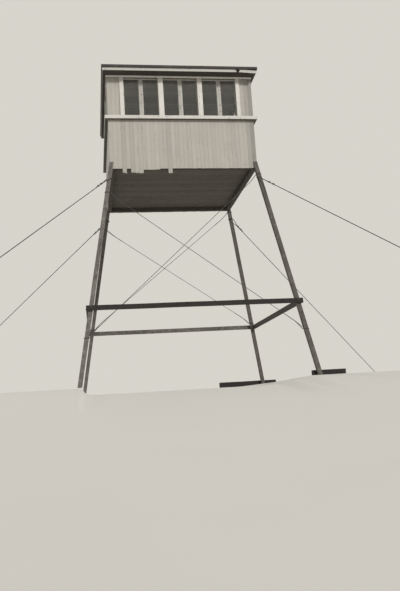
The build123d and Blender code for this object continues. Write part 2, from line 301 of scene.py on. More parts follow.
def dressed(node, along, material, slot, ease=0.003, wander=0.002):
    """A node's own timber with eased arrises and its grain laid along it. It is cut into short lengths
    that wander a little."""
    pile = Pile()
    mesh = pile.mesh
    mesh.from_mesh(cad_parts[node].data)
    bmesh.ops.remove_doubles(mesh, verts=mesh.verts, dist=1e-5)
    bmesh.ops.dissolve_limit(mesh, angle_limit=math.radians(1), verts=mesh.verts, edges=mesh.edges)
    arrises = [e for e in mesh.edges if e.is_manifold and e.calc_face_angle() > math.radians(30)]
    rounding = {"offset": ease, "segments": 2, "profile": 0.6, "affect": "EDGES", "clamp_overlap": True}
    bmesh.ops.bevel(mesh, geom=arrises, **rounding)
    along = along.normalized()
    reach = [v.co.dot(along) for v in mesh.verts]
    first, length, cut = min(reach), max(reach) - min(reach), 0.35
    cuts = int(length / cut)
    for i in range(1, cuts + 1):
        geometry = mesh.verts[:] + mesh.edges[:] + mesh.faces[:]
        level = first + length * i / (cuts + 1)
        bmesh.ops.bisect_plane(mesh, geom=geometry, plane_co=along * level, plane_no=along)
    side = along.orthogonal().normalized() if abs(along.z) > 0.5 else UP.copy()
    depth = along.cross(side)
    for solid in islands(mesh):
        tone = chance.uniform(-1, 1)
        pith = Vector((chance.uniform(-0.03, 0.03), chance.uniform(-0.03, 0.03), chance.uniform(0, 9)))
        centre = sum((v.co for v in solid), Vector()) / len(solid)
        for vertex in solid:
            inner = vertex.co - centre
            vertex[pile.grain] = pith + Vector((inner.dot(side), inner.dot(depth), inner.dot(along)))
            vertex[pile.tone] = tone
            run = vertex.co.dot(along)
            shift = noise.noise_vector(along * run * 1.3 + centre) * wander
            near_end = min(run - first, first + length - run)
            vertex.co += (shift - along * shift.dot(along)) * min(1.0, near_end / 0.25)
            vertex.co.z = max(vertex.co.z, 0.0)
    bmesh.ops.dissolve_degenerate(mesh, dist=1e-5, edges=mesh.edges)
    pile.finish(node + "_sawn", material, slot, [node])


def circle(centre, pair, radius, sides, turn=0.0):
    """Places all round a centre, in the plane of two directions."""
    return arc(centre, pair[0] * radius, pair[1] * radius, spread(turn, turn + math.tau, sides)[:-1])


def turned(pile, place, out, profile, sides, turn=0.0):
    """A round solid on a surface that faces out, from the radius and height of each ring."""
    across = out.orthogonal().normalized()
    pair = (across, out.cross(across))
    pile.skin([pile.ring(circle(place + out * rise, pair, radius, sides, turn)) for radius, rise in profile])


def nail(pile, place, out, radius, height, sides):
    """A nail's domed head."""
    turned(pile, place, out, [(radius, -0.001), (radius, height * 0.4), (radius * 0.6, height)], sides)


def disc(pile, place, out, radius, height, sides, turn=0.0, crown=0.0):
    """A washer, nut or plate with an eased edge."""
    eased = [(radius, 0.0), (radius, height * 0.85), (radius * 0.88, height)]
    turned(pile, place, out, eased + [(radius * 0.5, height + crown)], sides, turn)


def rounded(points, radius):
    """A route with its corners rounded off."""
    route = [points[0]]
    for before, corner, after in zip(points, points[1:], points[2:]):
        reach = min(radius, (corner - before).length * 0.45, (after - corner).length * 0.45)
        entry = corner + (before - corner).normalized() * reach
        leave = corner + (after - corner).normalized() * reach
        for t in spread(0.0, 1.0, 6):
            route.append(entry * (1 - t) ** 2 + corner * 2 * t * (1 - t) + leave * t ** 2)
    return route + [points[-1]]


def evenly(route, step):
    """Points a step apart along a route."""
    lengths = [(b - a).length for a, b in zip(route, route[1:])]
    count = max(2, round(sum(lengths) / step))
    spaced, travelled, leg = [], 0.0, 0
    for i in range(count + 1):
        target = sum(lengths) * i / count
        while leg < len(lengths) - 1 and travelled + lengths[leg] < target:
            travelled += lengths[leg]
            leg += 1
        share = min(1.0, (target - travelled) / max(lengths[leg], 1e-9))
        spaced.append(route[leg].lerp(route[leg + 1], share))
    return spaced


def cross_frames(route):
    """Two directions across a route at each point, turned as little as possible from one to the next."""
    tangents = [(b - a).normalized() for a, b in zip(route, route[1:])]
    tangents.append(tangents[-1])
    across = tangents[0].orthogonal().normalized()
    frames = []
    for tangent in tangents:
        across = (across - tangent * across.dot(tangent)).normalized()
        frames.append((across.copy(), tangent.cross(across)))
    return frames


def tube(pile, route, radius, sides, frames=None, offset=None):
    """A round tube along a route, moved off it by offset, which has a pair of distances for each point."""
    rings = []
    for i, (centre, pair) in enumerate(zip(route, frames or cross_frames(route))):
        if offset:
            centre = centre + pair[0] * offset[i][0] + pair[1] * offset[i][1]
        grain = Vector((0, 0, i * 0.01))
        rings.append([pile.point(place, grain) for place in circle(centre, pair, radius, sides)])
    pile.skin(rings)


def wire_rope(pile, route, radius, strands, lay, sides):
    """Strands laid round each other along a route. Six of them lie round a straight core."""
    spaced = evenly(route, lay / 9)
    frames = cross_frames(spaced)
    strand = radius / 3 if strands == 6 else radius / 2
    step = (spaced[1] - spaced[0]).length
    for k in range(strands):
        turns = [math.tau * (i * step / lay + k / strands) for i in range(len(spaced))]
        offset = [((radius - strand) * math.cos(t), (radius - strand) * math.sin(t)) for t in turns]
        tube(pile, spaced, strand * 1.04, sides, frames, offset)
    if strands == 6:
        tube(pile, spaced[:-1:4] + spaced[-1:], strand, 5)


# Finishes

class Value:
    """What a shader node puts out, with the sums, masks and mixes that are made from it."""

    def __init__(self, tree, socket):
        self.tree = tree
        self.socket = socket

    def maths(self, operation, *others, clamp=False):
        wires = dict(enumerate((self, *others)))
        return add(self.tree, "Math", wires, operation=operation, use_clamp=clamp)

    def __add__(self, other):
        return self.maths("ADD", other)

    def __sub__(self, other):
        return self.maths("SUBTRACT", other)

    def __mul__(self, other):
        return self.maths("MULTIPLY", other)

    def __truediv__(self, other):
        return self.maths("DIVIDE", other)

    def __pow__(self, other):
        return self.maths("POWER", other)

    def __abs__(self):
        return self.maths("ABSOLUTE")

    def __rsub__(self, other):
        return add(self.tree, "Math", {0: other, 1: self}, operation="SUBTRACT")

    def __rtruediv__(self, other):
        return add(self.tree, "Math", {0: other, 1: self}, operation="DIVIDE")

    def mix(self, a, b):
        """Two colours mixed, from a where this is 0 to b where it is 1."""
        return add(self.tree, "Mix", {0: self, 6: a, 7: b}, 2, data_type="RGBA")

    def between(self, low, high):
        """A value from low to high as this goes from 0 to 1."""
        return add(self.tree, "MapRange", {"Value": self, "To Min": low, "To Max": high})

    def steps(self, low, high):
        """0 below low, 1 above high, smooth between."""
        wires = {"Value": self, "From Min": low, "From Max": high}
        return add(self.tree, "MapRange", wires, interpolation_type="SMOOTHSTEP")

    def stretch(self, x, y, z):
        """Coordinates scaled by different amounts along their axes."""
        return add(self.tree, "VectorMath", {0: self, 1: (x, y, z)}, operation="MULTIPLY")

    def scaled(self, level):
        """A colour made lighter or darker."""
        return add(self.tree, "VectorMath", {0: self, 3: level}, operation="SCALE")

    def parts(self):
        """The three coordinates."""
        split = placed(self.tree, "SeparateXYZ", {0: self})
        return [Value(self.tree, socket) for socket in split.outputs]

    def clouds(self, scale, detail, roughness=0.55, distortion=0.0):
        """Fractal noise from about 0 to 1 at these coordinates."""
        wires = {"Vector": self, "Scale": scale, "Detail": detail, "Roughness": roughness}
        return add(self.tree, "TexNoise", wires | {"Distortion": distortion}, "Fac")


def connect(tree, wire, socket):
    """Gives a socket a number, a colour or another node's value."""
    if isinstance(wire, Value):
        tree.links.new(wire.socket, socket)
    elif socket.type == "RGBA":
        socket.default_value = (*wire, 1.0)
    else:
        socket.default_value = wire


def placed(tree, kind, wires, **settings):
    """A new shader node. settings are its properties, and wires says what each input gets."""
    node = tree.nodes.new("ShaderNode" + kind)
    for key, setting in settings.items():
        setattr(node, key, setting)
    for key, wire in wires.items():
        connect(tree, wire, node.inputs[key])
    return node


def add(tree, kind, wires, output=0, **settings):
    """What a new shader node puts out."""
    return Value(tree, placed(tree, kind, wires, **settings).outputs[output])


def put(tree, group, **wires):
    """What one of the effects puts out, placed in a material with its own values."""
    named = {key.replace("_", " "): wire for key, wire in wires.items()}
    node = placed(tree, "Group", named, node_tree=group)
    return {socket.name: Value(tree, socket) for socket in node.outputs}


def effect(name, inputs, work):
    """A node group with named sockets. inputs gives their usual values, and work makes what it puts out."""
    tree = bpy.data.node_groups.new(name, "ShaderNodeTree")
    for label, usual in inputs.items():
        kind = "NodeSocketVector" if usual is None else "NodeSocketFloat"
        socket = tree.interface.new_socket(label, in_out="INPUT", socket_type=kind)
        if usual is not None:
            socket.default_value = usual
    given = {socket.name: Value(tree, socket) for socket in tree.nodes.new("NodeGroupInput").outputs}
    made = work(tree, given)
    for label in made:
        tree.interface.new_socket(label, in_out="OUTPUT", socket_type="NodeSocketFloat")
    result = tree.nodes.new("NodeGroupOutput").inputs
    for label, value in made.items():
        connect(tree, value, result[label])
    return tree


def on_tower(tree):
    """Places on the tower, in metres."""
    return add(tree, "TexCoord", {}, "Object")


def facing(tree):
    """The direction that the surface faces."""
    return add(tree, "NewGeometry", {}, "Normal")


def member_tone(tree):
    """Each member's own tone, from -1 to 1."""
    return add(tree, "Attribute", {}, "Fac", attribute_name="tone")


def member_grain(tree):
    """Each member's own grain coordinates."""
    return add(tree, "Attribute", {}, "Vector", attribute_name="grain")


def timber_figure(tree, given):
    """Growth rings, fibres, knots and drying checks of a sawn member, from its own grain coordinates."""
    grain = given["Grain"]
    cells = add(tree, "TexVoronoi", {"Vector": grain.stretch(9, 9, 3), "Scale": 1.0}, "Distance")
    knot = 1.0 - cells.steps(0.10, 0.15)
    round_knot = 1.0 - cells.steps(0.10, 0.42)
    bend = (round_knot * 0.35 + grain.stretch(4, 4, 0.7).clouds(1.0, 2) - 0.5) * 0.05
    x, y, _ = grain.parts()
    bent = add(tree, "CombineXYZ", {0: x + bend, 1: y + bend})
    radius = add(tree, "VectorMath", {0: bent}, "Value", operation="LENGTH")
    late_wood = (radius / given["Ring Width"]).maths("FRACT") ** 2.5
    fibre = grain.stretch(260, 260, 7).clouds(1.0, 3)
    figure = late_wood * 0.5 + fibre * 0.5
    seam = grain.stretch(34, 34, 1.1).clouds(1.0, 2)
    crack = 1.0 - abs(seam - 0.5).steps(0.0, 0.012)
    cracked_part = grain.stretch(9, 9, 1.7).clouds(1.0, 1).steps(0.48, 0.62)
    check = crack * cracked_part * given["Checks"]
    return {"Figure": figure, "Knots": knot, "Checks": check, "Height": figure * 0.35 - check}


def weathering(tree, given):
    """Patches, streaks that run down, and slow changes of tone, by place on the tower."""
    place = on_tower(tree)
    x, y, z = place.parts()
    runs = add(tree, "CombineXYZ", {0: x * 17.0, 1: y * 17.0, 2: z / given["Streak Length"]})
    return {
        "Patches": place.clouds(1.0 / given["Patch Size"], 5, 0.62, 0.4),
        "Streaks": runs.clouds(1.0, 4, 0.6).steps(0.42, 0.75),
        "Drift": place.clouds(0.9, 2),
    }


def edge_wear(tree, given):
    """Where arrises have been rubbed or broken, as a ragged mask along them."""
    soft = add(tree, "Bevel", {"Radius": given["Reach"]}, samples=4)
    alike = add(tree, "VectorMath", {0: soft, 1: facing(tree)}, "Value", operation="DOT_PRODUCT")
    edge = (1.0 - alike).maths("MULTIPLY", 7.0, clamp=True)
    ragged = on_tower(tree).clouds(42.0, 4, 0.65)
    return {"Wear": (edge - ragged * given["Raggedness"]).steps(0.02, 0.30)}


TIMBER_FIGURE = effect("timber_figure", {"Grain": None, "Ring Width": 0.006, "Checks": 0.5}, timber_figure)
WEATHERING = effect("weathering", {"Patch Size": 0.08, "Streak Length": 0.5}, weathering)
EDGE_WEAR = effect("edge_wear", {"Reach": 0.006, "Raggedness": 0.5}, edge_wear)


def new_material(name):
    """An empty material and its tree."""
    material = bpy.data.materials.new(name)
    material.use_nodes = True
    material.node_tree.nodes.clear()
    return material, material.node_tree


def shaded(tree, shader):
    """Ends a material's tree with its shader."""
    placed(tree, "OutputMaterial", {"Surface": shader})


def coated(tree, colour, rough, height, strength, distance, **more):
    """A solid finish: its colour, its roughness and how far its height shows."""
    bump = add(tree, "Bump", {"Height": height, "Strength": strength, "Distance": distance})
    wires = {"Base Color": colour, "Roughness": rough, "Normal": bump}
    wires |= {key.replace("_", " "): wire for key, wire in more.items()}
    shaded(tree, add(tree, "BsdfPrincipled", wires))


def toned(colour, factor):
    """A lighter or darker shade of a colour."""
    return tuple(min(1.0, c * factor) for c in colour)


def bare_wood(name, light, dark, check, silver=0.0):
    """Bare sawn wood that has weathered. silver is how much of its face has bleached."""
    material, tree = new_material(name)
    figure = put(tree, TIMBER_FIGURE, Grain=member_grain(tree), Ring_Width=0.006, Checks=check)
    weather = put(tree, WEATHERING, Patch_Size=0.11, Streak_Length=0.7)
    wear = put(tree, EDGE_WEAR, Reach=0.006, Raggedness=0.8)
    wood = figure["Figure"].mix(light, dark)
    wood = (figure["Knots"] * 0.75).mix(wood, toned(dark, 0.55))
    wood = (weather["Patches"].steps(0.45, 0.7) * silver).mix(wood, toned(light, 1.9))
    wood = (wear["Wear"] * 0.35).mix(wood, toned(light, 1.7))
    wood = (weather["Streaks"] * 0.4).mix(wood, toned(dark, 0.6))
    wood = figure["Checks"].mix(wood, toned(dark, 0.2))
    lit = wood.scaled((member_tone(tree) * 0.14 + 1.0) * weather["Drift"].between(0.86, 1.14))
    rough = figure["Figure"].between(0.74, 0.95)
    coated(tree, lit, rough, figure["Height"], 0.7, 0.003, Specular_IOR_Level=0.25)
    return material


def painted_wood(name, paint, bare, worn, streaked, flake, reach=0.006):
    """Old paint on boards: it has chalked, flaked off in patches and along the arrises, and the grain
    shows through it."""
    material, tree = new_material(name)
    figure = put(tree, TIMBER_FIGURE, Grain=member_grain(tree), Ring_Width=0.005, Checks=0.8)
    weather = put(tree, WEATHERING, Patch_Size=0.05, Streak_Length=0.9)
    wear = put(tree, EDGE_WEAR, Reach=reach, Raggedness=0.9)
    coat = on_tower(tree).clouds(2.3, 4).mix(toned(paint, 0.93), toned(paint, 1.07))
    coat = (figure["Knots"] * 0.22).mix(coat, toned(paint, 0.6))
    wood = figure["Figure"].mix(bare, toned(bare, 0.5))
    flaked = (figure["Figure"] * 0.16 + weather["Patches"]).steps(flake, flake + 0.05)
    gone = flaked.maths("MAXIMUM", wear["Wear"] * worn)
    gone = gone.maths("MAXIMUM", figure["Checks"] * 0.9, clamp=True)
    colour = gone.mix(coat, wood)
    colour = (weather["Streaks"] * streaked).mix(colour, toned(paint, 0.62))
    # Painted shade: faces that look down are mixed towards a dark bare-wood colour, under sills, casings,
    # frieze and boards.
    below = (facing(tree).parts()[2] * -1.0).steps(0.4, 0.9)
    colour = (below * 0.93).mix(colour, toned(bare, 0.35))
    lit = colour.scaled((member_tone(tree) * 0.045 + 1.0) * weather["Drift"].between(0.95, 1.05))
    height = figure["Height"] * 0.4 + (1.0 - gone) * 0.4
    coated(tree, lit, gone.between(0.58, 0.9), height, 0.6, 0.0015, Specular_IOR_Level=0.35)
    return material


def old_glass():
    """Thin drawn glass with slow ripples, which lets the daylight into the cab."""
    material, tree = new_material("drawn_window_glass")
    place = on_tower(tree)
    ripple = place.stretch(5, 5, 2).clouds(1.0, 2)
    bump = add(tree, "Bump", {"Height": ripple, "Strength": 0.12, "Distance": 0.004})
    dust = place.clouds(26.0, 5).between(0.0, 0.09)
    wires = {"Base Color": (0.83, 0.85, 0.84), "Roughness": dust, "IOR": 1.5, "Transmission Weight": 1.0}
    glass = add(tree, "BsdfPrincipled", wires | {"Normal": bump})
    clear = add(tree, "BsdfTransparent", {"Color": (0.86, 0.86, 0.86)})
    lamp_ray = add(tree, "LightPath", {}, "Is Shadow Ray")
    shaded(tree, add(tree, "MixShader", {0: lamp_ray, 1: glass, 2: clear}))
    return material


def glazing_putty():
    """Hard old putty under paint, with fine cracks across it."""
    material, tree = new_material("glazing_putty")
    place = on_tower(tree)
    crack = 1.0 - abs(place.clouds(85.0, 2) - 0.5).steps(0.0, 0.02)
    coat = place.clouds(12.0, 3).mix((0.40, 0.39, 0.365), (0.52, 0.51, 0.48))
    colour = crack.mix(coat, (0.10, 0.095, 0.085))
    coated(tree, colour, crack.between(0.6, 0.9), 1.0 - crack, 0.5, 0.001)
    return material


def roofing_felt():
    """Mineral felt: dark granules, rubbed smooth along the laps, with tar and dust."""
    material, tree = new_material("mineral_roofing_felt")
    grit = on_tower(tree).clouds(640.0, 2, 0.7)
    weather = put(tree, WEATHERING, Patch_Size=0.22, Streak_Length=1.2)
    wear = put(tree, EDGE_WEAR, Reach=0.008, Raggedness=0.6)
    colour = grit.steps(0.38, 0.66).mix((0.026, 0.025, 0.024), (0.088, 0.086, 0.080))
    colour = (weather["Patches"].steps(0.45, 0.75) * 0.45).mix(colour, (0.115, 0.110, 0.100))
    colour = (wear["Wear"] * 0.6).mix(colour, (0.016, 0.016, 0.016))
    lit = colour.scaled(member_tone(tree) * 0.12 + 1.0)
    height = grit * 0.5 + weather["Patches"] * 1.5
    coated(tree, lit, grit.between(0.82, 0.97), height, 0.5, 0.002, Specular_IOR_Level=0.3)
    return material


def dull_steel(name, clean, rust, rust_share, metal):
    """Zinc or iron gone dull, with rust in patches."""
    material, tree = new_material(name)
    place = on_tower(tree)
    spots = place.clouds(31.0, 5, 0.65).steps(1.0 - rust_share, 1.12 - rust_share)
    tint = place.clouds(120.0, 3).mix(toned(clean, 0.8), toned(clean, 1.2))
    bright = (1.0 - spots) * metal
    coated(tree, spots.mix(tint, rust), spots.between(0.48, 0.9), spots, 0.4, 0.0006, Metallic=bright)
    return material


LEG_WOOD = bare_wood("weathered_leg_timber", (0.125, 0.116, 0.102), (0.056, 0.051, 0.044), 0.9, 0.25)
# Bleached wood of the left legs. On the back girt the same pale wood is painted light, a lighter copy of the
# girt timber.
PALE_LEG_AND_LIT_GIRT_WOOD = bare_wood("bleached_leg_and_lit_girt_timber", (0.165, 0.155, 0.138), (0.085, 0.078, 0.068), 0.9, 0.45)
GIRT_WOOD = bare_wood("weathered_girt_timber", (0.090, 0.084, 0.075), (0.040, 0.036, 0.032), 0.9, 0.15)
DARK_WOOD = bare_wood("tarred_girt_timber", (0.030, 0.028, 0.026), (0.014, 0.013, 0.012), 0.8, 0.06)
FRAME_WOOD = bare_wood("bare_joist_timber", (0.105, 0.096, 0.080), (0.054, 0.047, 0.038), 0.6)
BEAM_WOOD = bare_wood("bare_beam_timber", (0.080, 0.073, 0.061), (0.041, 0.036, 0.030), 0.6)
BOARD_WOOD = bare_wood("bare_floor_boards", (0.120, 0.111, 0.095), (0.078, 0.070, 0.058), 0.3)
SOFFIT_WOOD = bare_wood("bare_soffit_boards", (0.075, 0.069, 0.060), (0.036, 0.032, 0.027), 0.4)
CEILING_WOOD = bare_wood("bare_ceiling_boards", (0.520, 0.485, 0.425), (0.400, 0.365, 0.310), 0.2)
WALL_PAINT = painted_wood(
    "wall_board_paint", (0.400, 0.379, 0.339), (0.200, 0.185, 0.160), worn=0.18, streaked=0.12, flake=0.74
)
TRIM_PAINT = painted_wood(
    "trim_board_paint", (0.660, 0.640, 0.595), (0.170, 0.157, 0.135), worn=0.6, streaked=0.20, flake=0.68
)
SASH_PAINT = painted_wood(
    "sash_paint", (0.440, 0.425, 0.390), (0.140, 0.128, 0.110), 0.6, streaked=0.20, flake=0.66, reach=0.004
)
INSIDE_PAINT = painted_wood(
    "lining_board_paint", (0.430, 0.405, 0.360), (0.150, 0.136, 0.115), worn=0.3, streaked=0.05, flake=0.75
)
GLASS = old_glass()
PUTTY = glazing_putty()
FELT = roofing_felt()
WIRE = dull_steel("galvanized_wire", (0.075, 0.074, 0.070), (0.050, 0.034, 0.024), rust_share=0.46, metal=0.5)
IRON = dull_steel("rusted_iron", (0.110, 0.105, 0.100), (0.070, 0.042, 0.027), rust_share=0.62, metal=0.7)


# Legs, girts and ground timbers

def build_legs():
    for corner, (sx, sy) in CORNERS.items():
        rake = Vector((-sx * LEG_BATTER, -sy * LEG_BATTER, 1))
        wood = PALE_LEG_AND_LIT_GIRT_WOOD if sx < 0 else LEG_WOOD
        dressed("leg_" + corner, rake, wood, "weathered_timber", ease=0.004, wander=0.004)


def build_girts():
    # The back girt takes the pale timber so that its inner face looks lit: painted light. The front girt
    # takes the darkest timber.
    woods = {"front": DARK_WOOD, "right": GIRT_WOOD, "back": PALE_LEG_AND_LIT_GIRT_WOOD, "left": GIRT_WOOD}
    for side, out in SIDES.items():
        dressed("girt_" + side, rightward(out), woods[side], "weathered_timber", ease=0.004, wander=0.003)
    dressed("ground_timbers", Vector((1, 0, 0)), DARK_WOOD, "weathered_timber", ease=0.009, wander=0.006)


def build_bolts():
    """A bolt through each girt and leg where they cross, and two heads on each outer face of a leg's top."""
    pile = Pile()
    washer, offset = (0.022, 0.004, 16), 0.022
    for side, out in SIDES.items():
        height = GIRT_LEVEL + (offset if side in ("front", "back") else -offset)
        lean = (out + UP * LEG_BATTER).normalized()
        for hand in (-1, 1):
            middle = rightward(out) * hand * leg_centre(height) + UP * height
            head = middle + out * (leg_centre(height) + LEG_SIDE / 2 + GIRT_THICK)
            tail = middle + out * (leg_centre(height) - LEG_SIDE / 2)
            disc(pile, head - lean * 0.001, lean, *washer)
            disc(pile, head + lean * 0.003, lean, 0.014, 0.008, 14, crown=0.005)
            disc(pile, tail + lean * 0.001, -lean, *washer)
            disc(pile, tail - lean * 0.003, -lean, 0.015, 0.012, 6, turn=0.4)
            disc(pile, tail - lean * 0.015, -lean, 0.0065, 0.010, 10)
    for sx, sy in CORNER_SIGNS:
        faces = (Vector((sx, 0, 0)), Vector((0, sy, 0)))
        for out, aside in (faces, faces[::-1]):
            for lift in (0.035, 0.095):
                height = UNDERSIDE + lift
                face = out * (leg_centre(height) + LEG_SIDE / 2) + aside * (leg_centre(height) - 0.004)
                lean = (out + UP * LEG_BATTER).normalized()
                disc(pile, face + UP * height - out * 0.001, lean, 0.013, 0.006, 6, turn=lift * 20)
    pile.finish("frame_bolts", IRON, "steel_wire")


# Floor

def lay_boards(pile, half, level, thick, width, hole_left, hole_right):
    """A layer of boards face down, as far as half each way, with a hole for the hatch."""
    edges = [-half, HATCH_LOW.y - HATCH_GAP, HATCH_HIGH.y + HATCH_GAP, half]
    runs = {0: [(-half, half)], 1: [(-half, hole_left), (hole_right, half)], 2: [(-half, half)]}
    for band, (low, high) in enumerate(zip(edges, edges[1:])):
        pitch, middles = row(low, high, width)
        for y in middles:
            for x0, x1 in runs[band]:
                flat_board(pile, x0, x1, y, level + thick, matched(pitch - 0.0015, thick))


def build_floor():
    """Beams and joists, floor boards across the joists, and lining boards below them."""
    for side, out in SIDES.items():
        dressed("floor_beam_" + side, rightward(out), BEAM_WOOD, "floor_timber", wander=0.0015)
    dressed("floor_joists", Vector((0, 1, 0)), FRAME_WOOD, "floor_timber")
    dressed("floor_hatch", Vector((1, 0, 0)), BOARD_WOOD, "floor_timber", ease=0.002, wander=0.0)
    pile = Pile()
    floor_width, lining_width, hatch_lap = 0.117, 0.134, 0.022
    hole = (HATCH_LOW.x - HATCH_GAP, HATCH_HIGH.x + HATCH_GAP)
    lay_boards(pile, FLOOR_HALF, FLOOR_TOP - FLOOR_BOARD, FLOOR_BOARD, floor_width, *hole)
    hole = (HATCH_LOW.x + hatch_lap, HATCH_HIGH.x - hatch_lap)
    lay_boards(pile, LINING_HALF, LINING_FOOT, LINING_BOARD, lining_width, *hole)
    pile.finish("floor_planks", BOARD_WOOD, "floor_timber", ["floor_boards"])


# Walls

# How far boards of the front wall have slipped, and the tones of its dark boards, counted from the left
SLIPPED_BOARDS = {3: 0.088, 5: 0.078, 6: 0.090, 7: 0.094, 14: 0.100}
SLIPPED_BOARDS |= {8: 0.030, 9: 0.027, 10: 0.032, 11: 0.025}
DARK_BOARDS = {3: -2.2, 5: -1.8, 14: -2.4, 34: -4.2, 35: -8.0}


def board_wall(side, out):
    """Upright boards outside. In front they grow darker to the right, and some have slipped and broken."""
    pile = Pile()
    half = board_run(side)
    pitch, middles = row(-half, half, WALL_BOARD)
    for i, along in enumerate(middles):
        foot = UNDERSIDE + chance.uniform(-0.004, 0.003)
        tone = chance.uniform(-1, 1)
        slip = 0.0
        if side == "front":
            slip = SLIPPED_BOARDS.get(i, 0.0)
            tone = DARK_BOARDS.get(i, tone + 0.9 - 1.8 * i / len(middles))
        foot -= slip
        outline, jag = matched(pitch - 0.0006, SKIN, 0.002), (0.0, 0.0)
        if slip > 0.05:
            outline, jag = splintered(pitch - 0.0006, SKIN), (0.045, 0.0)
        spans = [(foot, SILL_TOP - 0.001, jag), (OPENING_HEAD, WALL_TOP, (0.0, 0.0))]
        if abs(along) + pitch / 2 > ROW_HALF + END_CASING / 2:
            spans = [(foot, WALL_TOP, jag)]
        for low, high, jag in spans:
            upright(pile, out, along, low, high, -SKIN, outline, 0.0015, 0.5, 0.0007, tone, jag=jag)
    pile.finish(f"wall_{side}_boards", WALL_PAINT, "wall_paint", [f"wall_{side}"])


def line_wall(side, out):
    """Studs between the windows, and lining boards above and below them inside."""
    core = Pile()
    thick, board = WALL_DEPTH - SKIN, 0.140
    half = board_run(side) - SKIN if side in ("front", "back") else HALF_CAB - WALL_DEPTH
    edges = [-half] + [unit + hand * OPENING_WIDTH / 2 for unit in UNITS for hand in (-1, 1)] + [half]
    for low, high in zip(edges[::2], edges[1::2]):
        stud = sawn(high - low, thick, 0.001)
        upright(core, out, (low + high) / 2, SILL_TOP, OPENING_HEAD, -WALL_DEPTH, stud, ease=0.0)
    for foot, head in ((OPENING_HEAD, WALL_TOP), (FLOOR_TOP, SILL_TOP)):
        pitch, levels = row(foot, head, board)
        for level in levels:
            start, end = on_wall(out, -half, level, -SKIN), on_wall(out, half, level, -SKIN)
            bar(core, start, end, UP, -out, matched(pitch, thick), ease=0.0)
    core.finish(f"wall_{side}_lining", INSIDE_PAINT, "wall_paint")


def build_walls():
    for side, out in SIDES.items():
        board_wall(side, out)
        line_wall(side, out)


def build_sills():
    """Sill boards with a weathered top and a drip groove, mitred at the corners."""
    thick = SILL_TOP - SILL_FOOT
    fall, groove, ease = 0.008, 0.004, 0.003
    outline = [(0, 0), (0, SILL_OUT - 0.019), (groove, SILL_OUT - 0.017), (groove, SILL_OUT - 0.011)]
    outline += [(0, SILL_OUT - 0.009), (0, SILL_OUT - ease), (ease, SILL_OUT)]
    outline += [(thick - fall - ease, SILL_OUT), (thick - fall, SILL_OUT - ease)]
    outline += [(thick, TRIM_DEPTH), (thick, 0)]
    mitre = (0.985, 0.985)
    for side, out in SIDES.items():
        pile = Pile()
        lengthwise(pile, out, -HALF_CAB, HALF_CAB, SILL_FOOT, 0.0, outline, 0.001, 0.5, 0.001, -2.4, mitre)
        pile.finish(f"sill_{side}_board", TRIM_PAINT, "trim_paint", [f"sill_{side}"])


FRIEZE_MIDDLE = WALL_TOP - FRIEZE_HEIGHT / 2
MULLION_CASING = UNIT_PITCH - OPENING_WIDTH + 2 * CASING_LAP
END_CASING_MIDDLE = UNIT_PITCH + OPENING_WIDTH / 2 - CASING_LAP + END_CASING / 2

# Where each casing's middle is along its wall, and how wide it is
CASINGS = {
    -UNIT_PITCH / 2: MULLION_CASING,
    UNIT_PITCH / 2: MULLION_CASING,
    -END_CASING_MIDDLE: END_CASING,
    END_CASING_MIDDLE: END_CASING,
}


def build_trim():
    """A frieze board under the soffit, and casings beside and between the windows."""
    for side, out in SIDES.items():
        pile = Pile()
        half = HALF_CAB + TRIM_DEPTH if side in ("front", "back") else HALF_CAB
        frieze = sawn(FRIEZE_HEIGHT, TRIM_DEPTH)
        # The frieze's paint is made much lighter than the other trim: painted light on a board that lies in
        # the eave's shadow.
        lengthwise(pile, out, -half, half, FRIEZE_MIDDLE, 0.0, frieze, 0.002, 0.5, 0.001, 5.0)
        head = WALL_TOP - FRIEZE_HEIGHT - 0.0005
        for along, width in CASINGS.items():
            upright(pile, out, along, SILL_TOP, head, 0.0, sawn(width, TRIM_DEPTH), wander=0.0008)
        pile.finish(f"trim_{side}_boards", TRIM_PAINT, "trim_paint", [f"window_trim_{side}"])


# Windows

SASH_WIDTH = (OPENING_WIDTH - 3 * SASH_GAP) / 2
SASH_CENTRES = [unit + hand * (SASH_WIDTH + SASH_GAP) / 2 for unit in UNITS for hand in (-1, 1)]
SIGHT = SASH_WIDTH / 2 - STILE


def build_sash(pile, out, centre):
    """Stiles the full height with rails between them, rebated outside for the glass."""
    inner, back, ease = -SASH_FACE - SASH_DEPTH, SASH_DEPTH - REBATE_DEPTH, 0.0015
    stile = [(0, 0), (STILE, 0), (STILE, back), (STILE - REBATE, back), (STILE - REBATE, SASH_DEPTH)]
    stile += [(ease, SASH_DEPTH), (0, SASH_DEPTH - ease)]
    for hand in (-1, 1):
        along = centre + hand * SASH_WIDTH / 2
        start, end = on_wall(out, along, SILL_TOP, inner), on_wall(out, along, SASH_TOP, inner)
        bar(pile, start, end, rightward(out) * -hand, out, stile)
    layers = [(RAIL, SIGHT, 0.0, back), (RAIL - REBATE, SIGHT + REBATE, back, REBATE_DEPTH)]
    for foot, lean in ((SILL_TOP, 1), (SASH_TOP, -1)):
        for height, half, depth, thick in layers:
            rail, level = sawn(height, thick, 0.001), foot + lean * height / 2
            lengthwise(pile, out, centre - half, centre + half, level, inner + depth, rail, ease=0.0)


def build_sashes():
    for side, out in SIDES.items():
        pile = Pile()
        for centre in SASH_CENTRES:
            build_sash(pile, out, centre)
        pile.finish(f"sashes_{side}_joinery", SASH_PAINT, "sash_paint", [f"sashes_{side}"])


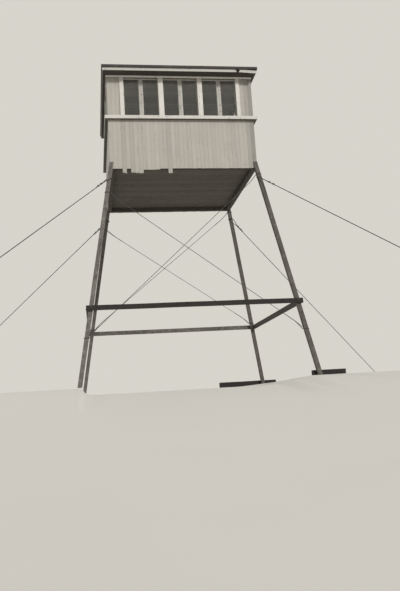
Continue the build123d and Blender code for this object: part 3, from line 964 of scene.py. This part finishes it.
def putty_fillet(pile, out, centre):
    """A fillet of putty round a pane, a little uneven along its length."""
    foot, head, pieces = SILL_TOP + RAIL, SASH_TOP - RAIL, 6
    edge, glass, sight = [], [], []
    for (ax, ay), (bx, by) in zip(CORNER_SIGNS, CORNER_SIGNS[1:] + CORNER_SIGNS[:1]):
        for k in range(pieces):
            along = centre + (ax + (bx - ax) * k / pieces) * SIGHT
            level = (foot + head) / 2 + (ay + (by - ay) * k / pieces) * (head - foot) / 2
            outwards = Vector((ax if ax == bx else 0, ay if ay == by else 0)) if k else Vector((ax, ay))
            lip = 0.001 + 0.0012 * noise.noise(Vector((along * 31, level * 31, HALF_CAB)))
            far = (along + outwards.x * REBATE, level + outwards.y * REBATE)
            edge.append(on_wall(out, *far, -SASH_FACE - 0.001))
            glass.append(on_wall(out, *far, -GLASS_FACE))
            sight.append(on_wall(out, along + outwards.x * lip, level + outwards.y * lip, -GLASS_FACE))
    rings = [pile.ring(places) for places in (edge, glass, sight)]
    pile.skin(rings + rings[:1], capped=False)


def build_putty():
    for side, out in SIDES.items():
        pile = Pile()
        for centre in SASH_CENTRES:
            putty_fillet(pile, out, centre)
        pile.finish(f"putty_{side}", PUTTY, "sash_paint")
        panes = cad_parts[f"window_glass_{side}"].data.materials
        panes.clear()
        panes.append(GLASS)


# Roof

def cover_plan(out):
    """How far the covering reaches towards out, and half its length across."""
    return (COVER_HIGH.x, COVER_HIGH.y) if abs(out.x) > 0.5 else (COVER_HIGH.y, COVER_HIGH.x)


def roof_point(out, along, inward, lift):
    """A point on the slope that faces out: so far along the eave and so far in from it, in plan."""
    reach, _ = cover_plan(out)
    height = EAVE + (PEAK - EAVE) * inward / reach + lift
    return rightward(out) * along + out * (reach - inward) + UP * height


def square_ring(pile, reach, inset, level):
    """A level ring round the roof, so far in from its reach along X and Y."""
    half_x, half_y = reach.x - inset, reach.y - inset
    return pile.ring([Vector((sx * half_x, sy * half_y, level)) for sx, sy in CORNER_SIGNS])


def build_roof_deck():
    """Boards under the roof, with the deck itself above them. Those inside the cab have stayed cleaner."""
    pile, ceiling = Pile(), Pile()
    room, thick = HALF_CAB - WALL_DEPTH / 2, 0.018
    back = DECK_LOW.z + thick
    pitch, middles = row(DECK_LOW.y, DECK_HIGH.y, width=0.104)
    board = matched(pitch - 0.001, thick, 0.005)
    for y in middles:
        runs = [(pile, DECK_LOW.x, DECK_HIGH.x)]
        if abs(y) < room:
            runs = [(pile, DECK_LOW.x, -room), (ceiling, -room, room), (pile, room, DECK_HIGH.x)]
        for where, x0, x1 in runs:
            flat_board(where, x0, x1, y, back, board)
    foot, eave = square_ring(pile, DECK_HIGH, 0.0, back), square_ring(pile, DECK_HIGH, 0.0, COVER_LOW.z)
    pile.strip(foot, eave)
    pile.mesh.faces.new(foot)
    pile.cone(eave, *pile.ring([UP * DECK_HIGH.z]))
    pile.finish("roof_deck_boards", SOFFIT_WOOD, "soffit_boards", ["roof_deck"])
    ceiling.finish("ceiling_boards", CEILING_WOOD, "soffit_boards")


def base_sheet(pile):
    """The sheet under the courses, folded down at the edge, with its underside on the deck."""
    foot = COVER_LOW.z + 0.001
    edge, eave = square_ring(pile, COVER_HIGH, 0.0, foot), square_ring(pile, COVER_HIGH, 0.0, EAVE)
    under = square_ring(pile, COVER_HIGH, 0.02, foot)
    pile.strip(edge, eave)
    pile.strip(edge, under)
    pile.cone(eave, *pile.ring([UP * PEAK]))
    pile.cone(under, *pile.ring([UP * (DECK_HIGH.z + 0.002)]))


def felt_course(pile, nails, out, inward, lift):
    """One course of felt on a slope, cut along the hips and nailed along a lower edge that waves a little."""
    reach, half = cover_plan(out)
    far = min(inward + FELT_COURSE, reach - 0.02)
    low_run, high_run = half * (1 - inward / reach), half * (1 - far / reach)
    tone = chance.uniform(-1, 1)
    rings = []
    for share in spread(-1.0, 1.0, 26):
        wave = 0.004 * noise.noise(Vector((share * 6, inward * 9, out.x * 3 + out.y)))
        edge, rise = inward + wave, lift + abs(wave) * 0.5
        section = [(low_run, edge, rise), (high_run, far, lift - 0.004), (high_run, far, lift - 0.007)]
        section.append((low_run, edge, rise - 0.003))
        places = [roof_point(out, share * run, depth, height) for run, depth, height in section]
        rings.append(pile.ring(places, tone))
    pile.skin(rings)
    spacing = 0.09
    for i in range(int(2 * low_run / spacing)):
        place = roof_point(out, -low_run + 0.05 + i * spacing, inward + 0.022, 0.0055)
        nail(nails, place, UP, *FELT_NAIL)


def folded_edge(pile, nails, out):
    """The felt's edge along one side, folded down and nailed."""
    reach, half = cover_plan(out)
    right, spacing = rightward(out), 0.11
    start = right * -(half + 0.002) + out * (reach + 0.0005) + UP * (EAVE + 0.005)
    flap = [(0.0, 0.0), (-0.030, 0.0), (-0.062, 0.0), (-0.062, 0.003), (-0.030, 0.003), (0.001, 0.002)]
    end = start + right * 2 * (half + 0.002)
    bar(pile, start, end, UP, out, flap, ease=0.0, step=0.12, wander=0.0016)
    for i in range(int(2 * half / spacing)):
        drop = 0.044 + chance.uniform(-0.004, 0.004)
        nail(nails, start + right * (0.06 + i * spacing) + out * 0.0035 - UP * drop, out, *FELT_NAIL)


def hip_cap(pile, nails, sx, sy):
    """A folded cap along one hip, nailed on both sides."""
    inset, spacing = 0.062, 0.12
    level = EAVE + 0.002 + (PEAK - EAVE) * inset / COVER_HIGH.y
    foot = Vector((sx * (COVER_HIGH.x - inset), sy * (COVER_HIGH.y - inset), level))
    top = UP * (PEAK - 0.0015)
    along = (top - foot).normalized()
    across = along.cross(UP).normalized()
    out = across.cross(along)
    fold = [(-0.075, -0.012), (0.0, 0.0), (0.075, -0.012), (0.075, -0.008), (0.0, 0.0055), (-0.075, -0.008)]
    bar(pile, foot, top, across, out, fold, ease=0.0, step=0.25, wander=0.001)
    for i in range(int((top - foot).length / spacing)):
        for hand in (-1, 1):
            place = foot + along * (0.05 + i * spacing) + across * hand * 0.058 - out * 0.0055
            nail(nails, place, out, *FELT_NAIL)


def build_covering():
    """Felt in courses over a base sheet, with the edges folded down and a cap along each hip."""
    pile, nails = Pile(), Pile()
    base_sheet(pile)
    for out in SIDES.values():
        for k in range(3):
            felt_course(pile, nails, out, k * (FELT_COURSE - FELT_LAP), 0.006 + 0.0005 * k)
        folded_edge(pile, nails, out)
    for sx, sy in CORNER_SIGNS:
        hip_cap(pile, nails, sx, sy)
    pile.finish("roof_felt_courses", FELT, "roof_felt", ["roof_covering"])
    nails.finish("roof_felt_nails", IRON, "steel_wire")


def build_fascia():
    """Fascia boards round the roof. The front one has broken, and its end piece hangs."""
    pile = Pile()
    height = COVER_LOW.z - WALL_TOP
    level, face = WALL_TOP + height / 2, FASCIA_FACE - FASCIA_THICK
    end, half = DECK_HIGH.x + FASCIA_THICK, face - 0.001
    levels = spread(-height / 2, height / 2, 15)
    broken = [(a, 0) for a in levels] + [(a, FASCIA_THICK) for a in reversed(levels)]
    whole = sawn(height, FASCIA_THICK)
    left_break, right_break = FASCIA_BREAK
    start, stop = Vector((-end, -face, level)), Vector((left_break, -face, level))
    bar(pile, start, stop, UP, SIDES["front"], broken, 0.002, 0.4, 0.0015, -6.0, jag=(0, 0.07))
    sine, cosine = math.sin(FASCIA_TILT), math.cos(FASCIA_TILT)
    start = Vector((right_break, -face, level))
    stop = start + Vector((cosine, 0, -sine)) * (end - right_break)
    rise = Vector((sine, 0, cosine))
    bar(pile, start, stop, rise, SIDES["front"], broken, 0.002, 0.2, 0.001, -6.0, jag=(0.06, 0))
    start, stop = Vector((-end, face, level)), Vector((end, face, level))
    bar(pile, start, stop, UP, SIDES["back"], whole, wander=0.0015)
    for out in (SIDES["left"], SIDES["right"]):
        start, stop = (out * DECK_HIGH.x + Vector((0, y, level)) for y in (-half, half))
        bar(pile, start, stop, UP, out, whole, wander=0.0012)
    pile.finish("fascia_painted_boards", TRIM_PAINT, "trim_paint", ["fascia_boards"])


# Nails in the boards

def nail_wall(pile, side, out):
    """Pairs of nails in each wall board, at the framing behind it."""
    half = board_run(side)
    pitch, middles = row(-half, half, WALL_BOARD)
    for along in middles:
        levels = [UNDERSIDE + 0.06, UNDERSIDE + 0.48, UNDERSIDE + 0.90, SILL_FOOT - 0.05]
        if abs(along) + pitch / 2 > ROW_HALF + END_CASING:
            levels += [SILL_TOP + 0.12, SILL_TOP + 0.55]
        for level in levels:
            for hand in (-1, 1):
                shake = chance.uniform(-0.005, 0.005)
                nail(pile, on_wall(out, along + hand * 0.024, level + shake), out, *BOARD_NAIL)


def nail_trim(pile, side, out):
    """Pairs of nails in the frieze board and the casings."""
    end = board_run(side) - 0.06
    places = [(along, FRIEZE_MIDDLE + hand * 0.015) for along in spread(-end, end, 9) for hand in (-1, 1)]
    levels = spread(SILL_TOP + 0.08, SILL_TOP + 0.89, 3)
    places += [(along + hand * 0.032, level) for along in CASINGS for level in levels for hand in (-1, 1)]
    for along, level in places:
        nail(pile, on_wall(out, along, level, TRIM_DEPTH), out, *BOARD_NAIL)


def build_nails():
    pile = Pile()
    for side, out in SIDES.items():
        nail_wall(pile, side, out)
        nail_trim(pile, side, out)
    pile.finish("board_nails", IRON, "steel_wire")


# Stays and brace wires

def hitched(leg, way, radius, aside=0.0):
    """The end of a wire that leaves a leg one way: its standing part, a turn round the leg, and its tail
    beside itself."""
    side = way.cross(UP).normalized()
    reach, grip = LEG_SIDE / 2 + radius + 0.001, 0.30
    aim = math.atan2(way.y, way.x)
    bends = []
    for sx, sy in CORNER_SIGNS:
        turn = (math.atan2(sy, sx) - aim) % math.tau
        if 0.5 < turn < math.tau - 0.5:
            bends.append((turn, leg + Vector((sx * reach, sy * reach, 0))))
    bends.sort(key=lambda bend: bend[0])
    standing = leg + Vector((0, aside, 0))
    tail = standing + side * (2 * radius + 0.0005)
    round_leg = [place for _, place in bends]
    return [standing + way * grip] + round_leg + [tail + way * grip, tail + way * 2 * grip]


def eye_loop(end, way, radius):
    """The end of a wire in an eye: its standing part, the loop, and its tail beside itself."""
    side = way.cross(UP).normalized()
    bend, lap, grip, tail_end = 0.032, math.radians(105), 0.15, 0.50
    loop = arc(end + way * bend, -way * bend, side * bend, spread(-lap, lap, 6))
    tail = end + side * (2 * radius + 0.0005)
    return [end + way * grip] + loop + [tail + way * grip, tail + way * tail_end]


def bow(place, first, top, half, rise, legs, parts):
    """Half a turn from first over top, with straight legs that run back from both ends."""
    arch = arc(place, first * half, top * rise, spread(0.0, math.pi, parts))
    return [arch[0] - top * legs] + arch + [arch[-1] - top * legs]


def clip(pile, place, along, side, radius):
    """A wire clip: a saddle under both parts of the wire, and a bow over them with two nuts."""
    out = along.cross(side).normalized()
    face, reach = place - out * (radius + 0.008), 2 * radius + 0.004
    saddle, half = sawn(4 * radius + 0.016, 0.009), 0.012
    bar(pile, face - along * half, face + along * half, side, out, saddle)
    tube(pile, bow(place + out * 0.001, side, out, reach, radius + 0.004, radius + 0.022, 10), 0.0035, 7)
    for hand in (-1, 1):
        disc(pile, face + side * hand * reach, -out, 0.008, 0.007, 6)


def staple(pile, place, out, radius):
    """A staple over a wire that runs across the face of a leg."""
    reach = radius + 0.003
    tube(pile, bow(place + out * radius, UP, out, reach, reach, radius + 0.012, 8), 0.0022, 6)


def pin_foot(sx, sy):
    """Where a stay's pin enters the ground, and the level way from it to the tower."""
    foot = Vector((sx * ANCHOR_X["front" if sy < 0 else "back"], sy * ANCHOR_Y, 0))
    return foot, -foot.normalized()


def build_stays():
    """Wire rope stays, each with a turn round its leg and an eye at its pin, closed by clips."""
    fittings = Pile()
    for corner, (sx, sy) in CORNERS.items():
        rope = Pile()
        top = leg_point(sx, sy, STAY_LEVEL)
        foot, inward = pin_foot(sx, sy)
        eye = foot + UP * EYE_LEVEL + inward * 0.011
        down = (eye - top).normalized()
        route = hitched(top, down, STAY_RADIUS)[::-1] + eye_loop(eye, -down, STAY_RADIUS)
        wire_rope(rope, rounded(route, 0.05), STAY_RADIUS, strands=6, lay=0.15, sides=6)
        rope.finish(f"stay_{corner}_rope", WIRE, "steel_wire", [f"stay_{corner}"], smooth=True)
        for end, way, distances in ((top, down, (0.36, 0.50)), (eye, -down, (0.22, 0.38))):
            side = way.cross(UP).normalized()
            for distance in distances:
                place = end + way * distance + side * (STAY_RADIUS + 0.0002)
                clip(fittings, place, way, side, STAY_RADIUS)
        for out in (Vector((-sx, 0, 0)), Vector((0, -sy, 0))):
            staple(fittings, top + out * (LEG_SIDE / 2 + 0.001), out, STAY_RADIUS)
    fittings.finish("stay_fittings", IRON, "steel_wire")


def build_anchor_pins():
    """Forged eye pins driven into the ground, each with a collar round its shank."""
    pile = Pile()
    ring_bar, shank, collar = 0.009, 0.014, 0.0195
    for sx, sy in CORNER_SIGNS:
        foot, inward = pin_foot(sx, sy)
        turns = spread(0.0, math.tau, 20)
        loop = arc(foot + UP * EYE_LEVEL, -UP * ANCHOR_RING, inward * ANCHOR_RING, turns)
        tube(pile, loop, ring_bar, 9)
        tube(pile, [foot + UP * height for height in (0.0, 0.030, ANCHOR_GRIP - ANCHOR_RING)], shank, 12)
        disc(pile, foot + UP * 0.012, UP, collar, 0.008, 14)
    pile.finish("anchor_eye_pins", IRON, "steel_wire", ["anchor_pins"])


def build_brace_wires():
    """Two crossed wires in the front face and two in the back, each with a turn round a leg at both ends."""
    for side, facing_y in (("front", -1), ("back", 1)):
        pile = Pile()
        for hand, top_level in zip((-1, 1), BRACE_TOPS[side]):
            top = leg_point(hand, facing_y, top_level)
            foot = leg_point(-hand, facing_y, BRACE_FEET[side])
            down = (foot - top).normalized()
            aside = hand * BRACE_SPACING / 2
            route = hitched(top, down, BRACE_RADIUS, aside)[::-1] + hitched(foot, -down, BRACE_RADIUS, aside)
            wire_rope(pile, rounded(route, 0.03), BRACE_RADIUS, strands=2, lay=0.09, sides=8)
        pile.finish(f"{side}_brace_twisted_wire", WIRE, "steel_wire", [f"{side}_brace_wires"], smooth=True)


# The photograph's camera, the floor and the light

PHOTO_HEIGHT, FOCAL_PIXELS = 591, 677.03
CAMERA_PLACE = Vector((-2.354, -17.566, -0.626))
CAMERA_YAW, CAMERA_PITCH, CAMERA_ROLL = math.radians(9.148), math.radians(9.578), math.radians(-3.546)


def build_camera():
    data = bpy.data.cameras.new("photo_camera")
    data.sensor_width = 36.0
    data.lens = FOCAL_PIXELS / PHOTO_HEIGHT * data.sensor_width
    data.clip_end = 500.0
    camera = bpy.data.objects.new("photo_camera", data)
    bpy.context.scene.collection.objects.link(camera)
    ahead = Vector((math.sin(CAMERA_YAW), math.cos(CAMERA_YAW), 0))
    forward = ahead * math.cos(CAMERA_PITCH) + UP * math.sin(CAMERA_PITCH)
    level = ahead.cross(UP)
    above = level.cross(forward)
    right = level * math.cos(CAMERA_ROLL) + above * math.sin(CAMERA_ROLL)
    up = above * math.cos(CAMERA_ROLL) - level * math.sin(CAMERA_ROLL)
    turn = Matrix((right, up, -forward)).transposed().to_4x4()
    camera.matrix_world = Matrix.Translation(CAMERA_PLACE) @ turn
    bpy.context.scene.camera = camera


def floor_paint(name, one_sided):
    """Matt floor paint. A one-sided floor doesn't show from below."""
    material, tree = new_material(name)
    colour = (0.60, 0.585, 0.545)
    tint = on_tower(tree).clouds(0.35, 3).mix(toned(colour, 0.97), toned(colour, 1.03))
    shader = add(tree, "BsdfPrincipled", {"Base Color": tint, "Roughness": 0.95, "Specular IOR Level": 0.1})
    if one_sided:
        behind = add(tree, "NewGeometry", {}, "Backfacing")
        shader = add(tree, "MixShader", {0: behind, 1: shader, 2: add(tree, "BsdfTransparent", {})})
    shaded(tree, shader)
    return material


def ease_in_out(share):
    """From 0 to 1, slow at both ends."""
    return share * share * (3 - 2 * share)


def ridge_height(x):
    """How far the front edge of the ground lies below the tower's foot level, across the picture."""
    marks = [(-2.66, -0.025), (-2.57, -0.150), (-2.40, -0.175)]
    marks += [(1.60, -0.175), (2.05, -0.080), (2.50, -0.012)]
    for (x0, z0), (x1, z1) in zip(marks, marks[1:]):
        if x0 <= x < x1:
            return z0 + (z1 - z0) * ease_in_out((x - x0) / (x1 - x0))
    return marks[0][1] if x < marks[0][0] else marks[-1][1]


def slope_mesh(size):
    """Ground that falls away towards the camera from behind the back feet, with its ridge in front."""
    back_edge, front_edge, near = LINING_HALF + 1.24, -FOOT_OUT - 0.02, -60.0
    fall, crest, rows, spacing = 0.11, 4.0, 12, 0.03
    across = [-size] + [-crest + spacing * i for i in range(int(2 * crest / spacing) + 1)] + [size]
    depths = [front_edge - crest * (i / rows) ** 1.5 for i in range(rows + 1)]
    flat = ridge_height(0.0)
    points = []
    for x in across:
        points.append((x, back_edge, -0.001))
        for y in depths:
            swell = (1 - ease_in_out((front_edge - y) / crest)) * (ridge_height(x) - flat)
            points.append((x, y, flat + swell - fall * (front_edge - y)))
        points.append((x, near, flat - fall * (front_edge - near)))
    faces, column = [], len(depths) + 2
    for i in range(len(across) - 1):
        for k in range(column - 1):
            j = i * column + k
            faces.append((j + 1, j + column + 1, j + column, j))
    mesh = bpy.data.meshes.new("front_slope")
    mesh.from_pydata(points, [], faces)
    mesh.shade_smooth()
    return mesh


def build_stage():
    """A level floor, which the camera sees through from below, and the slope in front of it."""
    size = 400.0
    level = bpy.data.meshes.new("level_floor")
    level.from_pydata([(sx * size, sy * size, 0) for sx, sy in CORNER_SIGNS], [], [(0, 1, 2, 3)])
    for mesh, one_sided in ((level, True), (slope_mesh(size), False)):
        mesh.materials.append(floor_paint(mesh.name + "_paint", one_sided))
        piece = bpy.data.objects.new(mesh.name, mesh)
        bpy.context.scene.collection.objects.link(piece)


def build_light():
    """Even light from all round with a pale backdrop, a sun in front and a soft one behind."""
    world = bpy.data.worlds.new("soft_studio")
    bpy.context.scene.world = world
    world.use_nodes = True
    tree = world.node_tree
    tree.nodes.clear()
    camera, glossy, through = (
        add(tree, "LightPath", {}, f"Is {kind} Ray") for kind in ("Camera", "Glossy", "Transmission")
    )
    seen = camera.maths("MAXIMUM", glossy).maths("MAXIMUM", through)
    light = add(tree, "Background", {"Color": (1.0, 0.985, 0.96), "Strength": 0.43})
    backdrop = add(tree, "Background", {"Color": (0.680, 0.660, 0.605), "Strength": 1.0})
    mixed = add(tree, "MixShader", {0: seen, 1: light, 2: backdrop})
    placed(tree, "OutputWorld", {"Surface": mixed})
    lamps = {"key": ((0.50, -0.74, 0.54), 2.55, 9.0), "fill": ((-0.80, 0.40, 0.45), 0.80, 60.0)}
    for name, (source, strength, angle) in lamps.items():
        data = bpy.data.lights.new(name, "SUN")
        data.energy = strength
        data.angle = math.radians(angle)
        data.color = (1.0, 0.985, 0.955)
        lamp = bpy.data.objects.new(name, data)
        lamp.rotation_euler = Vector(source).to_track_quat("Z", "Y").to_euler()
        bpy.context.scene.collection.objects.link(lamp)


build_camera()
build_legs()
build_girts()
build_bolts()
build_floor()
build_walls()
build_sills()
build_trim()
build_sashes()
build_putty()
build_roof_deck()
build_covering()
build_fascia()
build_nails()
build_stays()
build_anchor_pins()
build_brace_wires()
build_stage()
build_light()

bpy.context.scene.view_settings.view_transform = "Standard"
